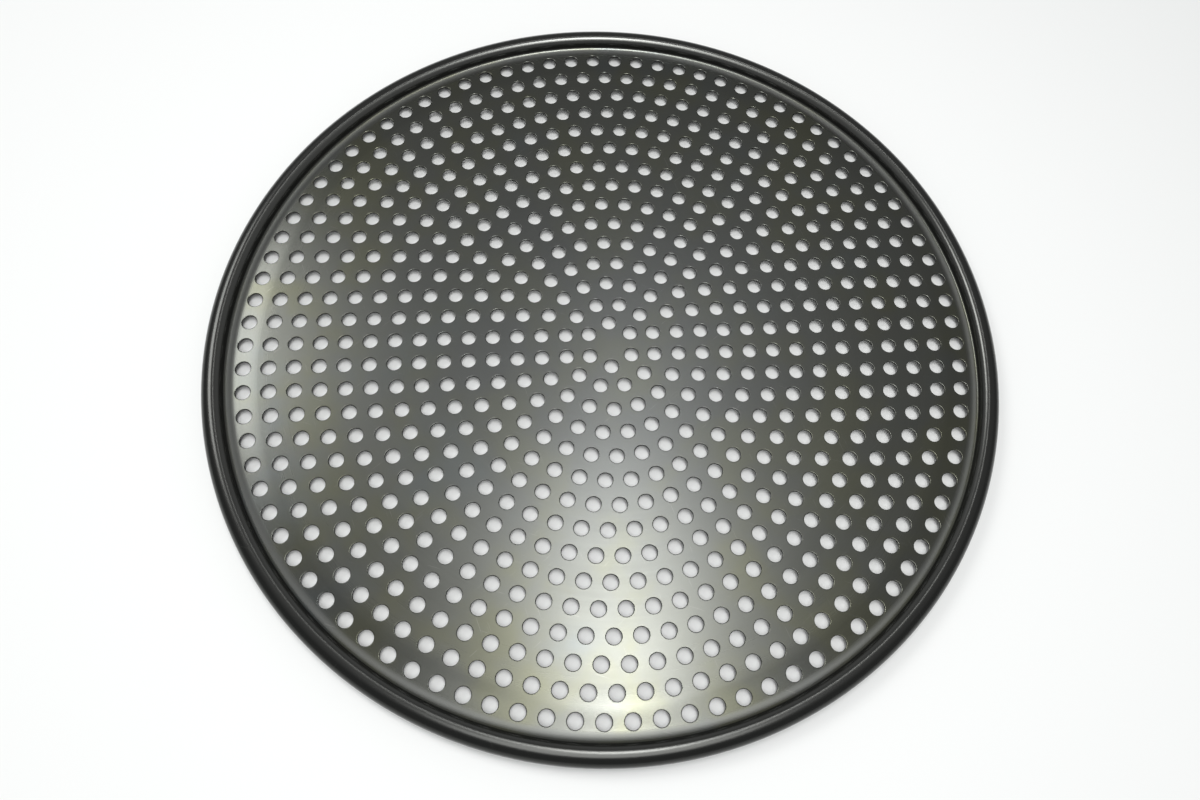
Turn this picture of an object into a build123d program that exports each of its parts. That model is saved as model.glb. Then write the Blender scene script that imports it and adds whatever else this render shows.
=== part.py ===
from build123d import *
import math
import os

# A round perforated pizza pan, pressed from one dark anodised aluminium sheet.
# The flat floor carries rings of punched holes. At its edge the sheet rises
# gently, turns up a short wall, rolls outward into a full bead and closes under
# its own rise, round a steel wire. Millimetres, +Z up, origin at the centre of
# the table plane that the bead rests on.

# Sheet
sheet_gauge = 1.0

# Punched holes. Ring n holds n times the holes of the first ring, set half a
# step off the X axis, so that the rings close into six like sectors.
ring_count = 15
first_ring_holes = 6
first_ring_radius = 10.0
second_ring_radius = 19.0
ring_pitch = 10.0
hole_diameter = 6.0
hole_sides = 6

# Rim, from the last ring of holes round to the sheet's cut edge
rim_margin = 0.3
rise_radius = 8.0
rise_slope = 22.0
corner_radius = 1.0
wall_rise = 1.0
shoulder_radius = 3.15
bead_radius = 5.0
land_depth = 0.1
cut_edge_angle = -146.0

# Wire in the bead's bore
wire_diameter = 4.0
wire_clearance = 0.3

os.makedirs("parts", exist_ok=True)

# Each hole is a flat-sided prism with the open area of the round punch.
hole_area = math.pi * (hole_diameter / 2) ** 2
corner_angle = 2 * math.pi / hole_sides
hole_corner_radius = math.sqrt(2 * hole_area / (hole_sides * math.sin(corner_angle)))


def ring_radius(ring):
    """Radius of the circle through the hole centres of one ring."""
    if ring == 1:
        return first_ring_radius
    return second_ring_radius + (ring - 2) * ring_pitch


# The rise starts a margin outside the last holes and leads to the corner, the
# corner to an upright wall, and the wall to the bead's inner shoulder.
rise_start_radius = ring_radius(ring_count) + hole_corner_radius + rim_margin
rise_to_corner = rise_radius - corner_radius
corner_centre_radius = rise_start_radius + rise_to_corner * math.sin(math.radians(rise_slope))
bead_centre_radius = corner_centre_radius + corner_radius + shoulder_radius

# The bead stands on the table, its underside dressed flat by the land's depth.
# The wall hangs from its shoulder, and the floor from the wall.
bead_height = bead_radius - land_depth
shoulder_height = bead_height + bead_radius - shoulder_radius
corner_height = shoulder_height - wall_rise
rise_height = corner_height + rise_to_corner * math.cos(math.radians(rise_slope))
floor_top = rise_height - rise_radius

# Floor: a disc of the sheet with the punch pattern taken out of it
with BuildSketch(Plane.XY.offset(floor_top)) as punch_pattern:
    for ring in range(1, ring_count + 1):
        hole_count = first_ring_holes * ring
        with PolarLocations(ring_radius(ring), hole_count, start_angle=180 / hole_count):
            RegularPolygon(hole_corner_radius, hole_sides)

with BuildPart() as floor_plate:
    with BuildSketch(Plane.XY.offset(floor_top)):
        Circle(rise_start_radius)
        add(punch_pattern.sketch, mode=Mode.SUBTRACT)
    extrude(amount=-sheet_gauge)

# Rim: its section lies between the sheet's upper skin and its lower skin one
# gauge below, is turned about the axis and dressed flat underneath.
with BuildPart() as rolled_rim:
    with BuildSketch(Plane.XZ):
        with BuildLine():
            rise_starts = []
            cut_edges = []
            for depth in (0, sheet_gauge):
                rise_skin = CenterArc(
                    (rise_start_radius, rise_height), rise_radius + depth, -90, rise_slope
                )
                corner_skin = CenterArc(
                    (corner_centre_radius, corner_height),
                    corner_radius + depth,
                    rise_slope - 90,
                    90 - rise_slope,
                )
                shoulder_skin = CenterArc(
                    (bead_centre_radius, shoulder_height), shoulder_radius - depth, 180, -90
                )
                bead_skin = CenterArc(
                    (bead_centre_radius, bead_height),
                    bead_radius - depth,
                    90,
                    cut_edge_angle - 90,
                )
                Line(corner_skin @ 1, shoulder_skin @ 0)
                rise_starts.append(rise_skin @ 0)
                cut_edges.append(bead_skin @ 1)
            Line(*rise_starts)
            Line(*cut_edges)
        make_face()
    revolve(axis=Axis.Z)
    split(bisect_by=Plane.XY, keep=Keep.TOP)

# Pan: floor and rim are one sheet. They meet on a cylinder, the narrowest one in
# either, so the skin of the pan is all their other faces closed into one shell.
sheet_faces = floor_plate.faces() + rolled_rim.faces()
upright_faces = sheet_faces.filter_by(GeomType.CYLINDER)
seam_faces = upright_faces.group_by(lambda face: face.radius)[0]
with BuildPart() as perforated_pan:
    add(Solid(Shell(sheet_faces - seam_faces)))

perforated_pan.part.label = "perforated_pan"
export_step(perforated_pan.part, "parts/perforated_pan.step")

# Rim wire: a closed ring lying on the bottom of the bead's bore
bore_bottom = bead_height - bead_radius + sheet_gauge
wire_height = bore_bottom + wire_clearance + wire_diameter / 2

with BuildPart() as rim_wire:
    with BuildSketch(Plane.XZ):
        with Locations((bead_centre_radius, wire_height)):
            Circle(wire_diameter / 2)
    revolve(axis=Axis.Z)

rim_wire.part.label = "rim_wire"
export_step(rim_wire.part, "parts/rim_wire.step")
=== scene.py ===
import math

import bpy
from mathutils import Matrix, Vector


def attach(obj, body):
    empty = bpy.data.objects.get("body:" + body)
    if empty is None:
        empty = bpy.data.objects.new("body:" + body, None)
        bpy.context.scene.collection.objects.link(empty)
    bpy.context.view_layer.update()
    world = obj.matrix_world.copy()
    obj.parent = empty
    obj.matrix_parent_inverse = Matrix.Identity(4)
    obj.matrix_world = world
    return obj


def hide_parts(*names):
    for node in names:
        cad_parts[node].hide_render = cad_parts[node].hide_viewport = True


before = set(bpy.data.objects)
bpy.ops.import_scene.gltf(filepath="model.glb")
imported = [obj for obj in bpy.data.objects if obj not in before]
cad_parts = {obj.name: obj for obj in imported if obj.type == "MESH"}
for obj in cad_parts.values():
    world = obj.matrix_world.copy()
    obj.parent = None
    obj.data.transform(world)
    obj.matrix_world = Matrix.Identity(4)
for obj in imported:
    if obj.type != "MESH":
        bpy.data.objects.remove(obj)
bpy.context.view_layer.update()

# Lengths are in metres and angles in radians
MM = 0.001
ONE_METRE = 1.0

# Sheet and punched holes. Ring n holds n times the holes of the first ring.
SHEET_GAUGE = 1.0 * MM
RING_COUNT = 15
FIRST_RING_HOLES = 6
FIRST_RING_RADIUS = 10.0 * MM
SECOND_RING_RADIUS = 19.0 * MM
RING_PITCH = 10.0 * MM
HOLE_DIAMETER = 6.0 * MM
LIP_ROLL = 0.3 * MM
SHEARED_DEPTH = 0.3 * MM
BREAK_FLARE = 0.35 * MM

# Rim, from the last ring of holes round to the sheet's cut edge
RIM_MARGIN = 0.598 * MM
RISE_RADIUS = 8.0 * MM
RISE_SLOPE = math.radians(22.0)
CORNER_RADIUS = 1.0 * MM
WALL_RISE = 1.0 * MM
SHOULDER_RADIUS = 3.15 * MM
BEAD_RADIUS = 5.0 * MM
LAND_DEPTH = 0.1 * MM
CUT_EDGE_ANGLE = math.radians(-146.0)
FLAT_MARGIN = 0.1 * MM

# Radii that follow, outward from the last ring of holes to the bead
LAST_RING_RADIUS = SECOND_RING_RADIUS + (RING_COUNT - 2) * RING_PITCH
RISE_START_RADIUS = LAST_RING_RADIUS + HOLE_DIAMETER / 2 + RIM_MARGIN
CORNER_CENTRE_RADIUS = RISE_START_RADIUS + (RISE_RADIUS - CORNER_RADIUS) * math.sin(RISE_SLOPE)
WALL_RADIUS = CORNER_CENTRE_RADIUS + CORNER_RADIUS
BEAD_CENTRE_RADIUS = WALL_RADIUS + SHOULDER_RADIUS

# Heights that follow, from the table up to the bead and down to the floor
TABLE_HEIGHT = 0.0
BEAD_HEIGHT = BEAD_RADIUS - LAND_DEPTH
SHOULDER_HEIGHT = BEAD_HEIGHT + BEAD_RADIUS - SHOULDER_RADIUS
CORNER_HEIGHT = SHOULDER_HEIGHT - WALL_RISE
RISE_HEIGHT = CORNER_HEIGHT + (RISE_RADIUS - CORNER_RADIUS) * math.cos(RISE_SLOPE)
FLOOR_TOP = RISE_HEIGHT - RISE_RADIUS

# Facets
TURN_SEGMENTS = 240
HOLE_SEGMENTS = 20
LIP_POINTS = 3
RISE_POINTS = 5
CORNER_POINTS = 7
SHOULDER_POINTS = 10
BEAD_POINTS = 28
WELD_DISTANCE = 0.004 * MM

# Camera, fitted to the rings of holes in the photograph's own 1200 x 800 frame
PHOTO_WIDTH_PX = 1200
PHOTO_HEIGHT_PX = 800
LENS_CENTRE_PX = (632.94, 400.0)
FOCAL_PX = 884.42
CAMERA_TURN = (-0.3666, 0.0582, 0.0647)
CAMERA_SHIFT = (-9.7924 * MM, 21.8614 * MM, -374.5964 * MM)
SENSOR_WIDTH_MM = 36.0
NEAREST_SEEN = 1.0 * MM

# Room and table
ROOM_COLOUR = (0.98, 0.99, 1.0, 1)
ROOM_LEVEL = 0.35
BACKDROP_COLOUR = (1, 1, 1, 1)
TABLE_COLOUR = (0.885, 0.895, 0.885, 1)
TABLE_ROUGHNESS = 0.9
TABLE_WIDTH = 6.0
TABLE_GAP = 0.02 * MM


class Tree:
    """A node tree with short calls to add nodes and link them."""

    def __init__(self, tree):
        self.tree = tree
        self.given = None
        self.outside = None

    def socket(self, name, kind, way="INPUT"):
        return self.tree.interface.new_socket(name=name, in_out=way, socket_type=kind)

    def ends(self):
        """Adds both ends of a group, once its sockets are made."""
        self.given = self.tree.nodes.new("NodeGroupInput").outputs
        self.outside = self.tree.nodes.new("NodeGroupOutput")

    def add(self, kind, settings=None, *in_order, **by_name):
        """Adds a node. An input's name has _ for each space."""
        node = self.tree.nodes.new(kind)
        for key, value in (settings or {}).items():
            setattr(node, key, value)
        for index, value in enumerate(in_order):
            self.feed(node, index, value)
        for key, value in by_name.items():
            self.feed(node, key.replace("_", " "), value)
        return node

    def feed(self, node, key, value):
        """Gives a node's input a link or a value."""
        target = node.inputs[key]
        if isinstance(value, bpy.types.NodeSocket):
            self.tree.links.new(value, target)
        elif isinstance(value, bpy.types.Node):
            self.tree.links.new(value.outputs[0], target)
        else:
            target.default_value = value

    def put_out(self, name, value):
        self.feed(self.outside, name, value)

    def math(self, operation, *values):
        return self.add("ShaderNodeMath", {"operation": operation}, *values).outputs[0]

    def plus(self, first, second):
        return self.math("ADD", first, second)

    def minus(self, first, second):
        return self.math("SUBTRACT", first, second)

    def times(self, first, second):
        return self.math("MULTIPLY", first, second)

    def over(self, first, second):
        return self.math("DIVIDE", first, second)


def geometry_group(name):
    return Tree(bpy.data.node_groups.new(name, "GeometryNodeTree"))


def shader_group(name):
    return Tree(bpy.data.node_groups.new(name, "ShaderNodeTree"))


def turned_section():
    """Geometry group: turns a section about the Z axis.

    The section is a curve whose X is the radius and whose Y is the height. The
    surface faces the left hand side of the section's way. What would reach below
    the table is dressed flat on it.
    """
    t = geometry_group("Turned section")
    t.socket("Section", "NodeSocketGeometry")
    t.socket("Segments", "NodeSocketInt")
    t.socket("Flip", "NodeSocketBool")
    t.socket("Surface", "NodeSocketGeometry", "OUTPUT")
    t.ends()
    segments = t.given["Segments"]
    section = t.add("GeometryNodeCurveToMesh", Curve=t.given["Section"])
    count = t.add("GeometryNodeAttributeDomainSize", {"component": "MESH"}, Geometry=section)
    points = count.outputs["Point Count"]
    grid = t.add("GeometryNodeMeshGrid", Vertices_X=t.plus(segments, 1), Vertices_Y=points)
    index = t.add("GeometryNodeInputIndex").outputs[0]
    row = t.math("MODULO", index, points)
    column = t.math("FLOOR", t.over(t.plus(index, 0.5), points))
    sample = t.add(
        "GeometryNodeSampleIndex",
        {"data_type": "FLOAT_VECTOR", "domain": "POINT"},
        Geometry=section,
        Value=t.add("GeometryNodeInputPosition"),
        Index=row,
    )
    radius, height, _ = t.add("ShaderNodeSeparateXYZ", Vector=sample.outputs["Value"]).outputs
    angle = t.times(column, t.over(-math.tau, segments))
    dressed_height = t.math("MAXIMUM", height, TABLE_HEIGHT)
    spot = t.add(
        "ShaderNodeCombineXYZ",
        X=t.times(radius, t.math("COSINE", angle)),
        Y=t.times(radius, t.math("SINE", angle)),
        Z=dressed_height,
    )
    moved = t.add("GeometryNodeSetPosition", Geometry=grid.outputs["Mesh"], Position=spot)
    welded = t.add("GeometryNodeMergeByDistance", Geometry=moved, Distance=WELD_DISTANCE)
    flipped = t.add("GeometryNodeFlipFaces", Mesh=welded)
    chosen = t.add("GeometryNodeSwitch", {"input_type": "GEOMETRY"}, Switch=t.given["Flip"])
    t.feed(chosen, "False", welded)
    t.feed(chosen, "True", flipped)
    t.put_out("Surface", chosen)
    return t.tree


def point(t, x, y):
    """A place in a section, by its radius and height, or a place on the floor."""
    return t.add("ShaderNodeCombineXYZ", X=x, Y=y).outputs[0]


def line(t, start, end):
    return t.add("GeometryNodeCurvePrimitiveLine", Start=start, End=end).outputs[0]


def circle(t, radius, segments):
    ring = t.add("GeometryNodeCurvePrimitiveCircle", {"mode": "RADIUS"}, Resolution=segments, Radius=radius)
    return ring.outputs["Curve"]


def arc(t, centre, radius, start, sweep, points):
    """A stretch of a circle in a section, from its start angle through its sweep."""
    bow = t.add(
        "GeometryNodeCurveArc",
        {"mode": "RADIUS"},
        Resolution=points,
        Radius=radius,
        Start_Angle=start,
        Sweep_Angle=sweep,
    )
    return t.add("GeometryNodeTransform", Geometry=bow.outputs["Curve"], Translation=centre).outputs[0]


def joined(t, shapes):
    whole = t.add("GeometryNodeJoinGeometry")
    for shape in shapes:
        t.feed(whole, "Geometry", shape)
    return whole


def turned(t, turner, section, segments, flip, smooth=True):
    """The surface of a section turned about the Z axis."""
    band = t.add("GeometryNodeGroup", {"node_tree": turner}, Section=section, Segments=segments, Flip=flip)
    return t.add("GeometryNodeSetShadeSmooth", Geometry=band, Shade_Smooth=smooth).outputs[0]


def hole_places(t):
    """Points at the hole centres, each with its turn about the Z axis.

    The rings up to ring n hold n (n + 1) / 2 times as many holes as the first
    ring, so a hole's ring follows from its number. The numbers start at a half,
    which sets the holes of each ring half a step off the X axis.
    """
    first = t.given["First Ring Holes"]
    rings = t.given["Ring Count"]
    first_radius = t.given["First Ring Radius"]
    total = t.over(t.times(first, t.times(rings, t.plus(rings, 1))), 2)
    number = t.plus(t.add("GeometryNodeInputIndex").outputs[0], 0.5)
    root = t.math("SQRT", t.plus(1, t.over(t.times(8, number), first)))
    ring = t.math("CEIL", t.over(t.minus(root, 1), 2))
    before = t.times(first, t.over(t.times(ring, t.minus(ring, 1)), 2))
    angle = t.times(math.tau, t.over(t.minus(number, before), t.times(first, ring)))
    past_first = t.math("GREATER_THAN", ring, 1.5)
    past_second = t.math("MAXIMUM", t.minus(ring, 2), 0)
    first_step = t.times(past_first, t.minus(t.given["Second Ring Radius"], first_radius))
    radius = t.plus(t.plus(first_radius, first_step), t.times(past_second, t.given["Ring Pitch"]))
    centre = point(t, t.times(radius, t.math("COSINE", angle)), t.times(radius, t.math("SINE", angle)))
    return t.add(
        "GeometryNodeStoreNamedAttribute",
        {"data_type": "FLOAT", "domain": "POINT"},
        Geometry=t.add("GeometryNodePoints", Count=total, Position=centre),
        Name="turn",
        Value=angle,
    )


def at_each_hole(t, places, shape):
    """A shape at every hole, turned with it."""
    stored = t.add("GeometryNodeInputNamedAttribute", {"data_type": "FLOAT"}, Name="turn")
    heading = t.add("ShaderNodeCombineXYZ", Z=stored.outputs["Attribute"])
    placed = t.add("GeometryNodeInstanceOnPoints", Points=places, Instance=shape, Rotation=heading)
    return t.add("GeometryNodeRealizeInstances", Geometry=placed).outputs[0]


def sheet_face(t, places, floor_radius, hole_radius, height, flip):
    """One flat face of the floor, open at the holes."""
    rim = circle(t, floor_radius, t.given["Turn Segments"])
    hole = circle(t, hole_radius, t.given["Hole Segments"])
    outline = joined(t, (rim, at_each_hole(t, places, hole)))
    face = t.add("GeometryNodeFillCurve", {"mode": "TRIANGLES"}, Curve=outline)
    lift = t.add("ShaderNodeCombineXYZ", Z=height)
    raised = t.add("GeometryNodeTransform", Geometry=face, Translation=lift)
    if flip:
        raised = t.add("GeometryNodeFlipFaces", Mesh=raised)
    return t.add("GeometryNodeSetShadeSmooth", Geometry=raised, Shade_Smooth=False).outputs[0]


def hole_liner(t, turner, lip_radius, break_radius, floor_under):
    """Skin of one hole: a rolled lip, a short sheared wall, then the flared break."""
    hole_radius = t.given["Hole Radius"]
    lip_height = t.minus(t.given["Floor Top"], t.given["Lip Roll"])
    break_height = t.minus(lip_height, t.given["Sheared Depth"])
    sections = (
        arc(t, point(t, lip_radius, lip_height), t.given["Lip Roll"], math.pi / 2, math.pi / 2, LIP_POINTS),
        line(t, point(t, hole_radius, lip_height), point(t, hole_radius, break_height)),
        line(t, point(t, hole_radius, break_height), point(t, break_radius, floor_under)),
    )
    return joined(t, [turned(t, turner, section, t.given["Hole Segments"], True) for section in sections])


def rim_skin(t, turner, floor_radius, depth, inner):
    """The rim's skin at a depth below the upper one, as bands, and where its section ends."""
    centre_radius = t.given["Bead Centre Radius"]
    height = t.minus(t.given["Floor Top"], depth)
    shoulder_size = t.minus(t.given["Shoulder Radius"], depth)
    bead_size = t.minus(t.given["Bead Radius"], depth)
    wall_radius = t.minus(centre_radius, shoulder_size)
    rise_place = point(t, t.given["Rise Start Radius"], t.given["Rise Height"])
    corner_place = point(t, t.given["Corner Centre Radius"], t.given["Corner Height"])
    shoulder_place = point(t, centre_radius, t.given["Shoulder Height"])
    bead_place = point(t, centre_radius, t.given["Bead Height"])
    rise_size = t.plus(t.given["Rise Radius"], depth)
    corner_size = t.plus(t.given["Corner Radius"], depth)
    corner_start = t.minus(t.given["Rise Slope"], math.pi / 2)
    corner_sweep = t.times(corner_start, -1)
    bead_sweep = t.minus(t.given["Cut Edge Angle"], math.pi / 2)
    sections = (
        line(t, point(t, floor_radius, height), point(t, t.given["Rise Start Radius"], height)),
        arc(t, rise_place, rise_size, -math.pi / 2, t.given["Rise Slope"], RISE_POINTS),
        arc(t, corner_place, corner_size, corner_start, corner_sweep, CORNER_POINTS),
        line(
            t,
            point(t, wall_radius, t.given["Corner Height"]),
            point(t, wall_radius, t.given["Shoulder Height"]),
        ),
        arc(t, shoulder_place, shoulder_size, math.pi, -math.pi / 2, SHOULDER_POINTS),
        arc(t, bead_place, bead_size, math.pi / 2, bead_sweep, BEAD_POINTS),
    )
    bands = [turned(t, turner, section, t.given["Turn Segments"], inner) for section in sections]
    reach = t.times(bead_size, t.math("COSINE", t.given["Cut Edge Angle"]))
    drop = t.times(bead_size, t.math("SINE", t.given["Cut Edge Angle"]))
    return bands, point(t, t.plus(centre_radius, reach), t.plus(t.given["Bead Height"], drop))


def named_inputs(t, kind, values):
    """Makes an input for each named value. Gives the values by their sockets' identifiers."""
    return {t.socket(name, kind).identifier: value for name, value in values.items()}


def pan_tree(finish):
    """Geometry tree of the whole pan, and the values of its inputs."""
    t = geometry_group("Rolled perforated pan")
    t.socket("Start", "NodeSocketGeometry")
    sizes = {
        "Floor Top": FLOOR_TOP,
        "Sheet Gauge": SHEET_GAUGE,
        "First Ring Radius": FIRST_RING_RADIUS,
        "Second Ring Radius": SECOND_RING_RADIUS,
        "Ring Pitch": RING_PITCH,
        "Hole Radius": HOLE_DIAMETER / 2,
        "Lip Roll": LIP_ROLL,
        "Sheared Depth": SHEARED_DEPTH,
        "Break Flare": BREAK_FLARE,
        "Rise Start Radius": RISE_START_RADIUS,
        "Rise Height": RISE_HEIGHT,
        "Rise Radius": RISE_RADIUS,
        "Rise Slope": RISE_SLOPE,
        "Corner Centre Radius": CORNER_CENTRE_RADIUS,
        "Corner Height": CORNER_HEIGHT,
        "Corner Radius": CORNER_RADIUS,
        "Shoulder Height": SHOULDER_HEIGHT,
        "Shoulder Radius": SHOULDER_RADIUS,
        "Bead Centre Radius": BEAD_CENTRE_RADIUS,
        "Bead Height": BEAD_HEIGHT,
        "Bead Radius": BEAD_RADIUS,
        "Cut Edge Angle": CUT_EDGE_ANGLE,
        "Flat Margin": FLAT_MARGIN,
    }
    counts = {
        "Ring Count": RING_COUNT,
        "First Ring Holes": FIRST_RING_HOLES,
        "Turn Segments": TURN_SEGMENTS,
        "Hole Segments": HOLE_SEGMENTS,
    }
    values = named_inputs(t, "NodeSocketFloat", sizes)
    values.update(named_inputs(t, "NodeSocketInt", counts))
    values.update(named_inputs(t, "NodeSocketMaterial", {"Finish": finish}))
    t.socket("Pan", "NodeSocketGeometry", "OUTPUT")
    t.ends()
    turner = turned_section()

    # Floor: the sheet between the holes above and below, and the holes' skins
    places = hole_places(t)
    lip_radius = t.plus(t.given["Hole Radius"], t.given["Lip Roll"])
    break_radius = t.plus(t.given["Hole Radius"], t.given["Break Flare"])
    floor_radius = t.minus(t.given["Rise Start Radius"], t.given["Flat Margin"])
    floor_under = t.minus(t.given["Floor Top"], t.given["Sheet Gauge"])
    liner = hole_liner(t, turner, lip_radius, break_radius, floor_under)
    skins = [
        sheet_face(t, places, floor_radius, lip_radius, t.given["Floor Top"], False),
        sheet_face(t, places, floor_radius, break_radius, floor_under, True),
        at_each_hole(t, places, liner.outputs[0]),
    ]

    # Rim: an upper and a lower skin, closed by the sheet's cut edge
    upper_bands, upper_end = rim_skin(t, turner, floor_radius, 0.0, False)
    lower_bands, lower_end = rim_skin(t, turner, floor_radius, t.given["Sheet Gauge"], True)
    cut_edge = line(t, upper_end, lower_end)
    skins += [*upper_bands, *lower_bands]
    skins.append(turned(t, turner, cut_edge, t.given["Turn Segments"], False, smooth=False))

    whole = t.add("GeometryNodeMergeByDistance", Geometry=joined(t, skins), Distance=WELD_DISTANCE)
    real = t.add("GeometryNodeRealizeInstances", Geometry=whole)
    t.put_out("Pan", t.add("GeometryNodeSetMaterial", Geometry=real, Material=t.given["Finish"]))
    return t.tree, values


def grown(name, tree, values):
    """Makes a piece from a geometry tree and turns the result into a plain mesh."""
    seed = bpy.data.objects.new(name + "_seed", bpy.data.meshes.new(name + "_seed"))
    bpy.context.collection.objects.link(seed)
    modifier = seed.modifiers.new("Making", "NODES")
    modifier.node_group = tree
    for identifier, value in values.items():
        modifier[identifier] = value
    depsgraph = bpy.context.evaluated_depsgraph_get()
    mesh = bpy.data.meshes.new_from_object(seed.evaluated_get(depsgraph), depsgraph=depsgraph)
    bpy.data.objects.remove(seed)
    mesh.name = name
    piece = bpy.data.objects.new(name, mesh)
    bpy.context.collection.objects.link(piece)
    return piece


def ramp(t, value, band, first=0.0, last=1.0):
    """Goes smoothly from the first to the last result while a value crosses a band."""
    node = t.add("ShaderNodeMapRange", {"interpolation_type": "SMOOTHSTEP"}, Value=value)
    for key, number in zip(("From Min", "From Max", "To Min", "To Max"), (*band, first, last)):
        node.inputs[key].default_value = number
    return node.outputs[0]


def blend(t, share, first, second):
    """Mixes two colours, by the share of the second.

    A mix node has its colour sockets after those of its other kinds of value.
    """
    node = t.add("ShaderNodeMix", {"data_type": "RGBA"}, share)
    t.feed(node, 6, first)
    t.feed(node, 7, second)
    return node.outputs[2]


def noise(t, place, scale, detail, roughness):
    node = t.add("ShaderNodeTexNoise", Vector=place, Scale=scale, Detail=detail, Roughness=roughness)
    return node.outputs[0]


def about_axis(t, place):
    """A place's X, Y and Z, and its distance from the Z axis."""
    x, y, z = t.add("ShaderNodeSeparateXYZ", Vector=place).outputs
    return x, y, z, t.math("SQRT", t.plus(t.times(x, x), t.times(y, y)))


def turned_grain():
    """Shader group: fine grooves in circles about the Z axis."""
    t = shader_group("Turned grain")
    t.socket("Place", "NodeSocketVector")
    t.socket("Groove Width", "NodeSocketFloat")
    t.socket("Groove Length", "NodeSocketFloat")
    t.socket("Grooves", "NodeSocketFloat", "OUTPUT")
    t.ends()
    x, y, _, radius = about_axis(t, t.given["Place"])
    round_place = t.add(
        "ShaderNodeCombineXYZ",
        X=t.over(radius, t.given["Groove Width"]),
        Y=t.over(x, t.given["Groove Length"]),
        Z=t.over(y, t.given["Groove Length"]),
    )
    t.put_out("Grooves", noise(t, round_place, scale=1.0, detail=3.0, roughness=0.6))
    return t.tree


# Where in the noise the warm and the cool patches come from, and the values over which they come up
WARM_OFFSET = (-1.2, 0.9, 0.0)
WARM_BAND = (0.42, 0.66)
COOL_OFFSET = (17.0, 5.0, 3.0)
COOL_BAND = (0.5, 0.78)


def patchy_tint():
    """Shader group: cloudy patches of three tints, as an oxide layer shows them."""
    t = shader_group("Patchy tint")
    t.socket("Place", "NodeSocketVector")
    t.socket("Ground", "NodeSocketColor")
    t.socket("Warm", "NodeSocketColor")
    t.socket("Cool", "NodeSocketColor")
    t.socket("Patch Size", "NodeSocketFloat")
    t.socket("Tint", "NodeSocketColor", "OUTPUT")
    t.socket("Cloud", "NodeSocketFloat", "OUTPUT")
    t.ends()
    fineness = t.over(1.0, t.given["Patch Size"])
    scaled = t.add("ShaderNodeVectorMath", {"operation": "SCALE"}, t.given["Place"], Scale=fineness)
    warm_place = t.add("ShaderNodeVectorMath", {"operation": "ADD"}, scaled, WARM_OFFSET)
    cool_place = t.add("ShaderNodeVectorMath", {"operation": "ADD"}, scaled, COOL_OFFSET)
    warm = ramp(t, noise(t, warm_place, scale=1.0, detail=3.0, roughness=0.55), WARM_BAND)
    cool = ramp(t, noise(t, cool_place, scale=0.8, detail=3.0, roughness=0.55), COOL_BAND)
    warmed = blend(t, warm, t.given["Ground"], t.given["Warm"])
    t.put_out("Tint", blend(t, cool, warmed, t.given["Cool"]))
    t.put_out("Cloud", noise(t, cool_place, scale=2.6, detail=4.0, roughness=0.6))
    return t.tree


# Each way that the scratches run, with its layer of the noise, and the values over which they come up
SCRATCH_WAYS = ((0.35, 3.0), (1.25, 11.0), (2.45, 23.0))
SCRATCH_BAND = (0.76, 0.82)


def fine_scratches():
    """Shader group: sparse short scratches in three directions."""
    t = shader_group("Fine scratches")
    t.socket("Place", "NodeSocketVector")
    t.socket("Scratch Width", "NodeSocketFloat")
    t.socket("Scratch Length", "NodeSocketFloat")
    t.socket("Scratches", "NodeSocketFloat", "OUTPUT")
    t.ends()
    marks = 0.0
    for turn, layer in SCRATCH_WAYS:
        aimed = t.add(
            "ShaderNodeVectorRotate",
            {"rotation_type": "Z_AXIS"},
            Vector=t.given["Place"],
            Angle=turn,
        )
        x, y, _ = t.add("ShaderNodeSeparateXYZ", Vector=aimed).outputs
        strip = t.add(
            "ShaderNodeCombineXYZ",
            X=t.over(x, t.given["Scratch Length"]),
            Y=t.over(y, t.given["Scratch Width"]),
            Z=layer,
        )
        found = ramp(t, noise(t, strip, scale=1.0, detail=1.0, roughness=0.4), SCRATCH_BAND)
        marks = t.math("MAXIMUM", marks, found)
    t.put_out("Scratches", marks)
    return t.tree


def new_material(name):
    """An empty material and its tree, with the output node in place."""
    made = bpy.data.materials.new(name)
    made.use_nodes = True
    t = Tree(made.node_tree)
    made.node_tree.nodes.clear()
    t.outside = t.add("ShaderNodeOutputMaterial")
    return made, t


def use_group(t, group, **inputs):
    return t.add("ShaderNodeGroup", {"node_tree": group}, **inputs)


# Bands of the sheet over which its finish changes: out along the floor, by radius
OUTER_TINTS = (30.0 * MM, 140.0 * MM)
SMOOTHER_FLOOR = (95.0 * MM, 135.0 * MM)
SMOOTHER_EDGE = (137.0 * MM, 145.0 * MM)
EDGE_DIP = (143.0 * MM, 153.0 * MM)
FLOOR_END = (RISE_START_RADIUS - 0.5 * MM, RISE_START_RADIUS - 0.1 * MM)

# Across the rim, by radius
RISE_START = (RISE_START_RADIUS - 1.2 * MM, RISE_START_RADIUS + 1.0 * MM)
RISE_END = (CORNER_CENTRE_RADIUS - 0.42 * MM, CORNER_CENTRE_RADIUS + 0.38 * MM)
WALL_START = (WALL_RADIUS - 0.37 * MM, WALL_RADIUS)
CREST_START = (WALL_RADIUS + 1.18 * MM, WALL_RADIUS + 2.18 * MM)
FLANK_START = (BEAD_CENTRE_RADIUS + 0.83 * MM, BEAD_CENTRE_RADIUS + 2.03 * MM)

# Down the holes, by height
BELOW_LIP = (FLOOR_TOP - LIP_ROLL, FLOOR_TOP - 0.1 * MM)
ABOVE_UNDERSIDE = (FLOOR_TOP - SHEET_GAUGE + 0.01 * MM, FLOOR_TOP - SHEET_GAUGE + 0.05 * MM)

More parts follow.
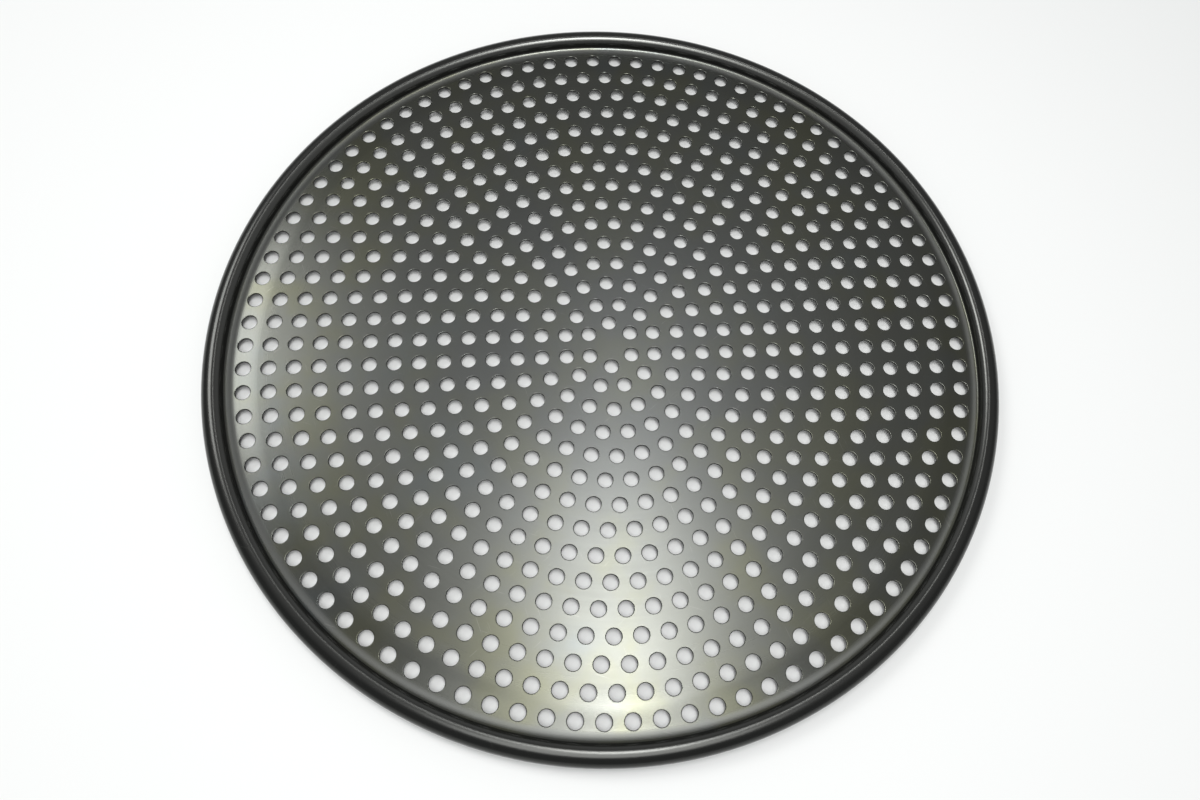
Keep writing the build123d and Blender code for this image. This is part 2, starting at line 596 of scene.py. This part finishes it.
# Colours of the sheet. The oxide tints of the floor have one for its middle and one for its edge. The rise,
# hole, wall, crest and flank colours are painted light and shade, and the scratch colour is wear.
GROUND_TINTS = ((0.104, 0.108, 0.105, 1), (0.106, 0.109, 0.098, 1))
WARM_TINTS = ((0.109, 0.113, 0.1, 1), (0.111, 0.113, 0.085, 1))
COOL_TINT = (0.105, 0.113, 0.111, 1)
# Painted shade: darkens the rise, which dims the bright line it catches at the rim's foot
RISE_PAINTED_SHADE = (0.074, 0.076, 0.073, 1)
# Painted shade: darkens the hole walls, which damps their reflections of the lit table
HOLE_PAINTED_SHADE = (0.045, 0.046, 0.043, 1)
# Painted light: the channel wall is lighter than the rim around it, which lifts its shade
WALL_PAINTED_LIGHT = (0.11, 0.112, 0.106, 1)
# Painted shade: the crest is darker than the floor, which dims its highlight
CREST_PAINTED_SHADE = (0.06, 0.061, 0.058, 1)
# Painted shade: the outer flank is darkened in place of the reflection of dark surroundings
FLANK_PAINTED_SHADE = (0.04, 0.041, 0.039, 1)
SCRATCH_COLOUR = (0.3, 0.3, 0.28, 1)
# How much of the rise's painted shade is laid over the tints
RISE_SHADE_SHARE = 0.8
SCRATCH_SHARE = 0.35

# Sizes of the patches, grooves and scratches, and of the dip at the floor's edge
PATCH_SIZE = 34.0 * MM
GROOVE_WIDTH = 0.35 * MM
GROOVE_LENGTH = 60.0 * MM
GROOVE_DEPTH = 0.01 * MM
GROOVE_STRENGTH = 0.08
SCRATCH_WIDTH = 0.25 * MM
SCRATCH_LENGTH = 14.0 * MM
DIP_DEPTH = 0.24 * MM

# Roughness of the sheet, and what each thing adds to it or takes from it
SHEET_ROUGHNESS = 0.27
GROOVES_ADD = 0.06
CLOUDS_ADD = 0.03
RISE_ADDS = 0.12
HOLES_ADD = 0.2
SMOOTHER_FLOOR_TAKES = 0.03
SMOOTHER_EDGE_TAKES = 0.05

# How much less metallic the wall is, and how the grain draws out highlights
WALL_DULLING = 0.05
GRAIN_STRETCH = 0.05
GRAIN_TURN = 0.25


def sheet_zones(t, radius, height):
    """Masks of the parts of the sheet that carry painted shade and light; the rise and the holes also set
    the roughness, and the wall the metal.
    """
    in_hole = t.times(ramp(t, height, BELOW_LIP, 1.0, 0.0), ramp(t, height, ABOVE_UNDERSIDE))
    return {
        "rise": t.minus(ramp(t, radius, RISE_START), ramp(t, radius, RISE_END)),
        "hole": t.times(in_hole, ramp(t, radius, FLOOR_END, 1.0, 0.0)),
        "wall": ramp(t, radius, WALL_START),
        "crest": ramp(t, radius, CREST_START),
        "flank": ramp(t, radius, FLANK_START),
    }


def sheet_colour(t, zones, tint, scratches):
    """Colour of the sheet: the floor's oxide tints, then painted shade on the rise, in the holes, on the
    crest and on the flank, painted light on the wall, and the wear over them.
    """
    colour = blend(t, t.times(zones["rise"], RISE_SHADE_SHARE), tint, RISE_PAINTED_SHADE)
    colour = blend(t, zones["hole"], colour, HOLE_PAINTED_SHADE)
    colour = blend(t, zones["wall"], colour, WALL_PAINTED_LIGHT)
    colour = blend(t, zones["crest"], colour, CREST_PAINTED_SHADE)
    colour = blend(t, zones["flank"], colour, FLANK_PAINTED_SHADE)
    return blend(t, t.times(scratches, SCRATCH_SHARE), colour, SCRATCH_COLOUR)


def sheet_roughness(t, zones, radius, grooves, cloud):
    """Roughness of the sheet: smoother towards the floor's edge, duller on the rise and in the holes."""
    rough = t.plus(t.times(grooves, GROOVES_ADD), SHEET_ROUGHNESS)
    rough = t.plus(rough, t.times(cloud, CLOUDS_ADD))
    rough = t.minus(rough, ramp(t, radius, SMOOTHER_FLOOR, 0.0, SMOOTHER_FLOOR_TAKES))
    rough = t.minus(rough, ramp(t, radius, SMOOTHER_EDGE, 0.0, SMOOTHER_EDGE_TAKES))
    rough = t.plus(rough, t.times(zones["rise"], RISE_ADDS))
    return t.plus(rough, t.times(zones["hole"], HOLES_ADD))


def sheet_normal(t, radius, grooves):
    """Normal of the sheet: a faint dip at the floor's edge, and the grooves over it."""
    depth = ramp(t, radius, EDGE_DIP, 0.0, -DIP_DEPTH)
    dip = t.add("ShaderNodeBump", Distance=ONE_METRE, Height=depth)
    return t.add(
        "ShaderNodeBump",
        Strength=GROOVE_STRENGTH,
        Distance=GROOVE_DEPTH,
        Height=grooves,
        Normal=dip,
    )


def dark_turned_sheet(grain, tint, scratches):
    """Dark hard-anodised aluminium sheet, turned in circles, patchy and lightly worn. Its rise, holes,
    crest and flank carry painted shade and its wall painted light.
    """
    made, t = new_material("Dark turned sheet")
    place = t.add("ShaderNodeTexCoord").outputs["Object"]
    _, _, height, radius = about_axis(t, place)
    zones = sheet_zones(t, radius, height)
    outer = ramp(t, radius, OUTER_TINTS)
    patches = use_group(
        t,
        tint,
        Place=place,
        Ground=blend(t, outer, *GROUND_TINTS),
        Warm=blend(t, outer, *WARM_TINTS),
        Cool=COOL_TINT,
        Patch_Size=PATCH_SIZE,
    )
    grooved = use_group(t, grain, Place=place, Groove_Width=GROOVE_WIDTH, Groove_Length=GROOVE_LENGTH)
    marked = use_group(
        t,
        scratches,
        Place=place,
        Scratch_Width=SCRATCH_WIDTH,
        Scratch_Length=SCRATCH_LENGTH,
    )
    grooves = grooved.outputs["Grooves"]
    colour = sheet_colour(t, zones, patches.outputs["Tint"], marked.outputs["Scratches"])
    rough = sheet_roughness(t, zones, radius, grooves, patches.outputs["Cloud"])
    body = t.add(
        "ShaderNodeBsdfPrincipled",
        Base_Color=colour,
        Roughness=rough,
        Metallic=t.minus(1.0, t.times(zones["wall"], WALL_DULLING)),
        Normal=sheet_normal(t, radius, grooves),
        Tangent=t.add("ShaderNodeTangent", {"direction_type": "RADIAL", "axis": "Z"}),
        Anisotropic=GRAIN_STRETCH,
        Anisotropic_Rotation=GRAIN_TURN,
    )
    t.put_out("Surface", body)
    return made


# Colours of the drawn wire, its roughness, and its lines and scratches
WIRE_COLOURS = ((0.42, 0.41, 0.39, 1), (0.56, 0.55, 0.53, 1))
WIRE_ROUGHNESS = 0.18
DRAWN_LINE_SHARE = 0.8
DRAWN_LINES_ADD = 0.3
WIRE_SCRATCHES_ADD = 0.2
DRAWN_LINE_WIDTH = 0.2 * MM
DRAWN_LINE_LENGTH = 90.0 * MM
WIRE_SCRATCH_WIDTH = 0.2 * MM
WIRE_SCRATCH_LENGTH = 8.0 * MM


def drawn_wire(grain, scratches):
    """Bright drawn steel wire."""
    made, t = new_material("Drawn steel wire")
    place = t.add("ShaderNodeTexCoord").outputs["Object"]
    lines = use_group(
        t,
        grain,
        Place=place,
        Groove_Width=DRAWN_LINE_WIDTH,
        Groove_Length=DRAWN_LINE_LENGTH,
    )
    marks = use_group(
        t,
        scratches,
        Place=place,
        Scratch_Width=WIRE_SCRATCH_WIDTH,
        Scratch_Length=WIRE_SCRATCH_LENGTH,
    )
    share = t.times(lines.outputs["Grooves"], DRAWN_LINE_SHARE)
    rough = t.plus(t.times(marks.outputs["Scratches"], WIRE_SCRATCHES_ADD), t.times(share, DRAWN_LINES_ADD))
    body = t.add(
        "ShaderNodeBsdfPrincipled",
        Base_Color=blend(t, share, *WIRE_COLOURS),
        Roughness=t.plus(rough, WIRE_ROUGHNESS),
        Metallic=1.0,
    )
    t.put_out("Surface", body)
    return made


def plain(name, colour, roughness):
    """An even finish for the table."""
    made, t = new_material(name)
    t.put_out("Surface", t.add("ShaderNodeBsdfPrincipled", Base_Color=colour, Roughness=roughness))
    return made


def lamp(name, way, distance, width, length, power):
    """An oval soft lamp that shines at the pan. Its length runs from near to far."""
    light = bpy.data.lights.new(name, "AREA")
    light.shape = "ELLIPSE"
    light.size = width
    light.size_y = length
    light.energy = power
    holder = bpy.data.objects.new(name, light)
    bpy.context.collection.objects.link(holder)
    holder.location = Vector(way).normalized() * distance
    holder.rotation_euler = Vector((0, 0, 1)).rotation_difference(Vector(way)).to_euler()


# The pan's sheet
grain = turned_grain()
tint = patchy_tint()
scratches = fine_scratches()
sheet_finish = dark_turned_sheet(grain, tint, scratches)
pan = grown("pan_sheet", *pan_tree(sheet_finish))
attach(pan, "root")
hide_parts("perforated_pan")

# The wire in the rolled bead
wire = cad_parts["rim_wire"]
wire_finish = drawn_wire(grain, scratches)
for holder in wire.material_slots:
    holder.material = wire_finish

# Table
half = TABLE_WIDTH / 2
corners = [(-half, -half, 0), (half, -half, 0), (half, half, 0), (-half, half, 0)]
table_mesh = bpy.data.meshes.new("table_top")
table_mesh.from_pydata(corners, [], [(0, 1, 2, 3)])
table_mesh.materials.append(plain("Pale table", TABLE_COLOUR, TABLE_ROUGHNESS))
table = bpy.data.objects.new("table_top", table_mesh)
table.location.z = TABLE_HEIGHT - TABLE_GAP
bpy.context.collection.objects.link(table)

# Lamps, each by its way from the pan, its distance and size in metres, and its power in watts
lamp("overhead_lamp", way=(0.044, -0.025, 1.0), distance=0.72, width=0.06, length=0.33, power=1.8)
lamp("far_lamp", way=(0.096, 0.403, 1.0), distance=1.5, width=0.2, length=0.2, power=0.75)
lamp("near_lamp", way=(0.0, -0.37, 1.0), distance=1.5, width=0.9, length=0.9, power=7.1)
lamp("left_window", way=(-0.704, 0.495, 1.0), distance=1.5, width=0.56, length=0.56, power=5.2)

# Room light, with a white backdrop where the camera looks past the table
world = bpy.data.worlds.new("Pale room")
world.use_nodes = True
bpy.context.scene.world = world
sky = Tree(world.node_tree)
world.node_tree.nodes.clear()
sky.outside = sky.add("ShaderNodeOutputWorld")
seen = sky.add("ShaderNodeLightPath").outputs["Is Camera Ray"]
room = sky.add("ShaderNodeBackground", Color=ROOM_COLOUR, Strength=ROOM_LEVEL)
backdrop = sky.add("ShaderNodeBackground", Color=BACKDROP_COLOUR, Strength=1.0)
sky.put_out("Surface", sky.add("ShaderNodeMixShader", None, seen, room, backdrop))

# Camera
view = bpy.data.cameras.new("photo_view")
view.sensor_width = SENSOR_WIDTH_MM
view.lens = FOCAL_PX / PHOTO_WIDTH_PX * SENSOR_WIDTH_MM
view.shift_x = (PHOTO_WIDTH_PX / 2 - LENS_CENTRE_PX[0]) / PHOTO_WIDTH_PX
view.shift_y = (LENS_CENTRE_PX[1] - PHOTO_HEIGHT_PX / 2) / PHOTO_WIDTH_PX
view.clip_start = NEAREST_SEEN
photographer = bpy.data.objects.new("photo_view", view)
bpy.context.collection.objects.link(photographer)
turn_x, turn_y, turn_z = CAMERA_TURN
pose = Matrix.Rotation(turn_x, 4, "X") @ Matrix.Rotation(turn_y, 4, "Y") @ Matrix.Rotation(turn_z, 4, "Z")
pose.translation = Vector(CAMERA_SHIFT)
photographer.matrix_world = pose.inverted()
bpy.context.scene.camera = photographer
bpy.context.scene.view_settings.view_transform = "Standard"
